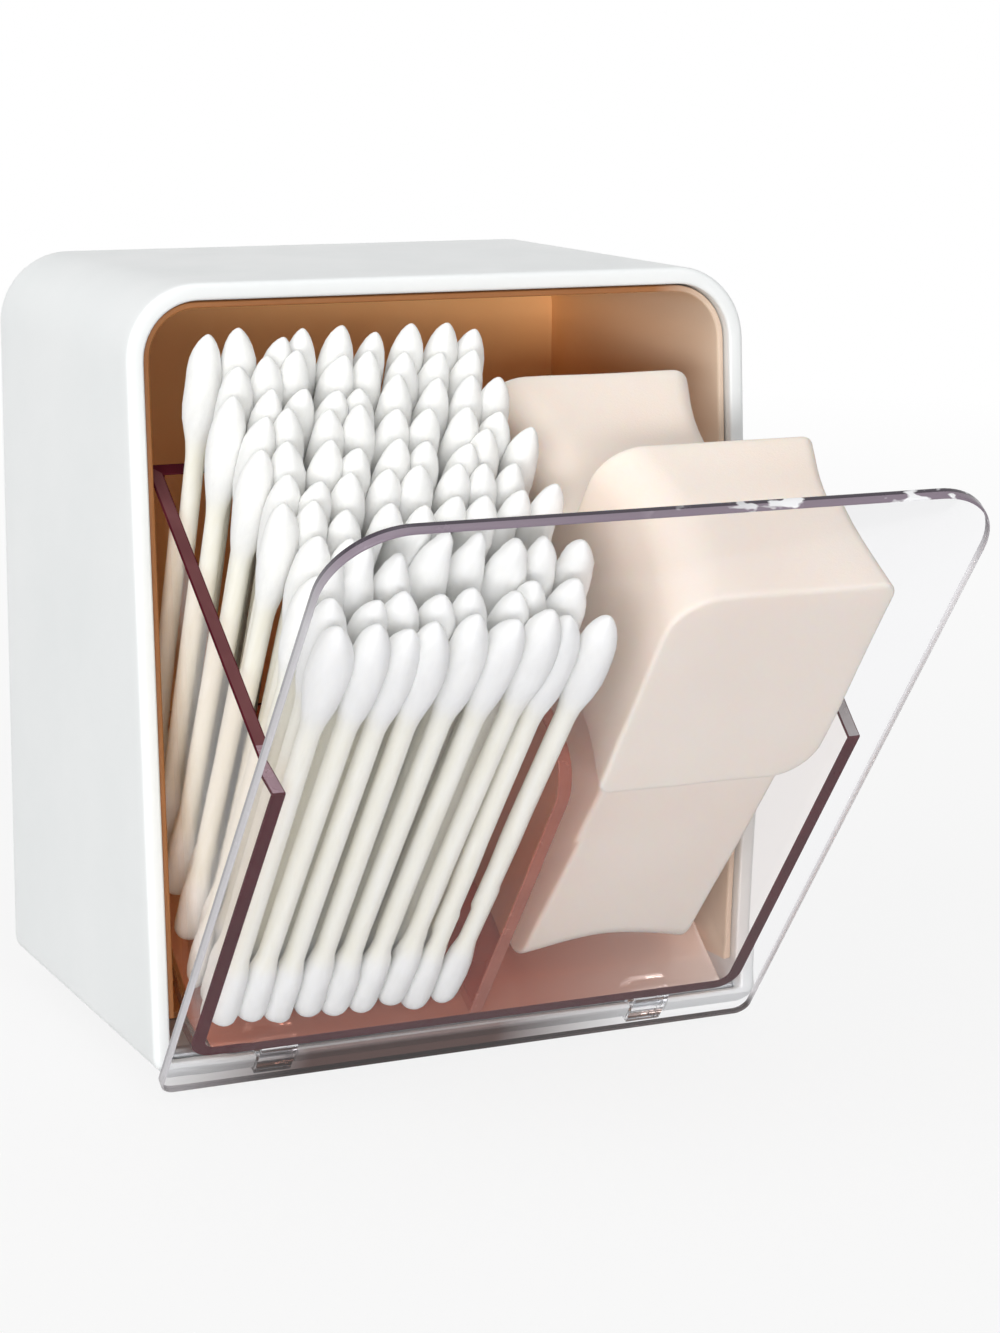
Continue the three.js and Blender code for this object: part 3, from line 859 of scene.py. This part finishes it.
def make_sponge(node, low, high, axes, corners, lean=0.0):
    """A soft block between two corners. axes says which axis runs from flat face to flat face, which
    one is drawn in at the waist and which is left. corners are the radii round its flat faces. lean
    pushes its top over to the right."""
    waist, fullness, edge, steps, support, slices = 2.3, 1.3, 0.55, 4, 0.45, 12
    wave, wave_scale, other_share = 0.25, 0.11, 0.6
    deep, wide, other = axes
    half = [(b - a) / 2 for a, b in zip(low, high)]
    middle = [(a + b) / 2 for a, b in zip(low, high)]
    depth = 2 * half[deep]
    stations = [(0.0, edge + support)]
    stations += [(along, inset) for inset, along in quarter(edge, steps)]
    stations += [(edge + support, 0.0)]
    inner = [(edge + (depth - 2 * edge) * i / slices, 0.0) for i in range(1, slices)]
    stations += inner + [(depth - d, inset) for d, inset in reversed(stations)]
    rings = []
    for d, inset in stations:
        t = d / depth
        pull = waist * (1 - (2 * t - 1) ** 2) ** fullness
        half_wide, half_other = half[wide] - pull - inset, half[other] - inset
        radii = [max(LEAST_RADIUS, corner - inset) for corner in corners]
        ring = []
        for b, c in rounded(half_wide, -half_other, half_other, radii, steps=8):
            point = [0.0, 0.0, 0.0]
            point[deep], point[wide], point[other] = d - half[deep], b, c
            soft = wave * noise.noise(Vector(point) * wave_scale + Vector(middle))
            point[wide] += soft
            point[other] += other_share * soft
            point[0] += lean * point[2] / half[2]
            ring.append([m + p for m, p in zip(middle, point)])
        rings.append(ring)
    piece = new_piece(node.replace("sponge", "foam"), *loft(rings), [SPONGE], TO_BIN, smooth_angle=80)
    settle(piece, "tilt_bin", node)


def make_sponges():
    """Two stacks of two, one behind the other."""
    front_back, rear_front, rear_back = 22, 23, 47.2
    front_low, rear_low = floor_top(front_back) + CLEARANCE, floor_top(rear_back) + CLEARANCE
    front_seam, rear_seam = 46.8, 34.5
    make_sponge(
        "sponge_front_lower", (9, 3.8, front_low), (33.2, front_back, front_seam), LYING, [3.4] * 4,
        lean=1.2,
    )
    make_sponge(
        "sponge_front_upper", (4.3, -2.9, front_seam + CLEARANCE), (33.6, front_back, 81), UPRIGHT,
        (5.5, 2, 6, 2),
    )
    make_sponge(
        "sponge_rear_lower", (4.5, rear_front, rear_low), (33.5, rear_back, rear_seam), UPRIGHT, [3] * 4
    )
    make_sponge(
        "sponge_rear_upper", (2.3, rear_front, rear_seam + CLEARANCE), (31.1, rear_back, 68.8), UPRIGHT,
        (3, 3, 5, 3),
    )


# Stage.

SEEN = ("Is Camera Ray", "Is Glossy Ray", "Is Transmission Ray")
WHITE_LIGHT = (1, 1, 1, 1)
SOFT_LIGHT = 0.3


def make_floor():
    """A pale floor that turns white away from the object, and keeps its shadow."""
    half, z = 15000, -52.6
    near, far, near_white = 0.12, 0.7, 0.86
    look = Look("floor")
    look.set(Base_Color=linear(218, 218, 218), Roughness=0.9)
    distance = look.add("ShaderNodeVectorMath", operation="LENGTH")
    look.link(look.coords, distance.inputs[0])
    share = look.spread(distance.outputs["Value"], near_white, 1.0, near, far)
    glow = look.add("ShaderNodeEmission")
    glow.inputs["Color"].default_value = WHITE_LIGHT
    glow.inputs["Strength"].default_value = 1.0
    look.mix_in(look.times(share, any_ray(look.tree, *SEEN)), glow)
    corners = [(-half, -half, z), (half, -half, z), (half, half, z), (-half, half, z)]
    new_piece("floor", corners, [(0, 1, 2, 3)], [look.material], Matrix.Identity(4))


def make_world():
    """Soft light from all round, which is white where it is seen."""
    world = bpy.data.worlds.new("studio")
    bpy.context.scene.world = world
    world.use_nodes = True
    tree = world.node_tree
    tree.nodes.clear()
    mix = tree.nodes.new("ShaderNodeMixShader")
    tree.links.new(any_ray(tree, *SEEN), mix.inputs[0])
    for socket, strength in ((mix.inputs[1], SOFT_LIGHT), (mix.inputs[2], 1.0)):
        background = tree.nodes.new("ShaderNodeBackground")
        background.inputs["Color"].default_value = WHITE_LIGHT
        background.inputs["Strength"].default_value = strength
        tree.links.new(background.outputs[0], socket)
    out = tree.nodes.new("ShaderNodeOutputWorld")
    tree.links.new(mix.outputs[0], out.inputs["Surface"])


def make_lamp(name, azimuth, elevation, distance, size, level):
    """A soft lamp aimed at the object. level is the brightness that it alone gives a white surface that
    faces it."""
    az, el = math.radians(azimuth), math.radians(elevation)
    aim = Vector((0, -0.03, 0))
    out = Vector((math.sin(az) * math.cos(el), -math.cos(az) * math.cos(el), math.sin(el)))
    lamp = bpy.data.lights.new(name, "AREA")
    lamp.shape = "RECTANGLE"
    lamp.size, lamp.size_y = size
    lamp.energy = level * (math.pi * distance) ** 2
    holder = bpy.data.objects.new(name, lamp)
    bpy.context.scene.collection.objects.link(holder)
    holder.location = aim + out * distance
    holder.rotation_mode = "QUATERNION"
    holder.rotation_quaternion = (-out).to_track_quat("-Z", "Y")


# The camera that was fitted to the photograph: its place, its turns and its focal length in pixels of a
# frame with that height.
CAMERA_AT = Vector((-166.592, -430.492, 83.168))
YAW, PITCH, ROLL = math.radians(24.917), math.radians(11.627), math.radians(0.353)
FOCAL_PIXELS, FRAME_HEIGHT, SENSOR = 3251.56, 1333, 36


def make_camera():
    level = math.cos(PITCH)
    forward = Vector((math.sin(YAW) * level, math.cos(YAW) * level, -math.sin(PITCH)))
    right = Vector((math.cos(YAW), -math.sin(YAW), 0))
    up = right.cross(forward)
    across = right * math.cos(ROLL) + up * math.sin(ROLL)
    above = up * math.cos(ROLL) - right * math.sin(ROLL)
    data = bpy.data.cameras.new("camera")
    data.sensor_width = SENSOR
    data.lens = SENSOR * FOCAL_PIXELS / FRAME_HEIGHT
    data.clip_start, data.clip_end = 0.01, 100
    camera = bpy.data.objects.new("camera", data)
    bpy.context.scene.collection.objects.link(camera)
    turn = Matrix((across, above, -forward)).transposed().to_4x4()
    camera.matrix_world = Matrix.Translation(CAMERA_AT * MM) @ turn
    bpy.context.scene.camera = camera


make_shell()
make_liner()
make_pad()
make_rod()
make_panel()
make_bin()
make_divider()
make_lug("hinge_lug_left", -LUG_X)
make_lug("hinge_lug_right", LUG_X)
for row in range(ROWS):
    make_row(row)
make_sponges()

make_floor()
make_world()
make_lamp("front", -24, 3, distance=1.4, size=(0.9, 0.18), level=0.53)
make_lamp("side", -50, 3, distance=1.4, size=(0.5, 0.18), level=0.12)
make_lamp("left", -75, 45, distance=1.4, size=(0.9, 0.9), level=0.24)
make_lamp("top", 10, 78, distance=1.3, size=(1.0, 1.0), level=0.24)
make_camera()
bpy.context.scene.view_settings.view_transform = "Standard"
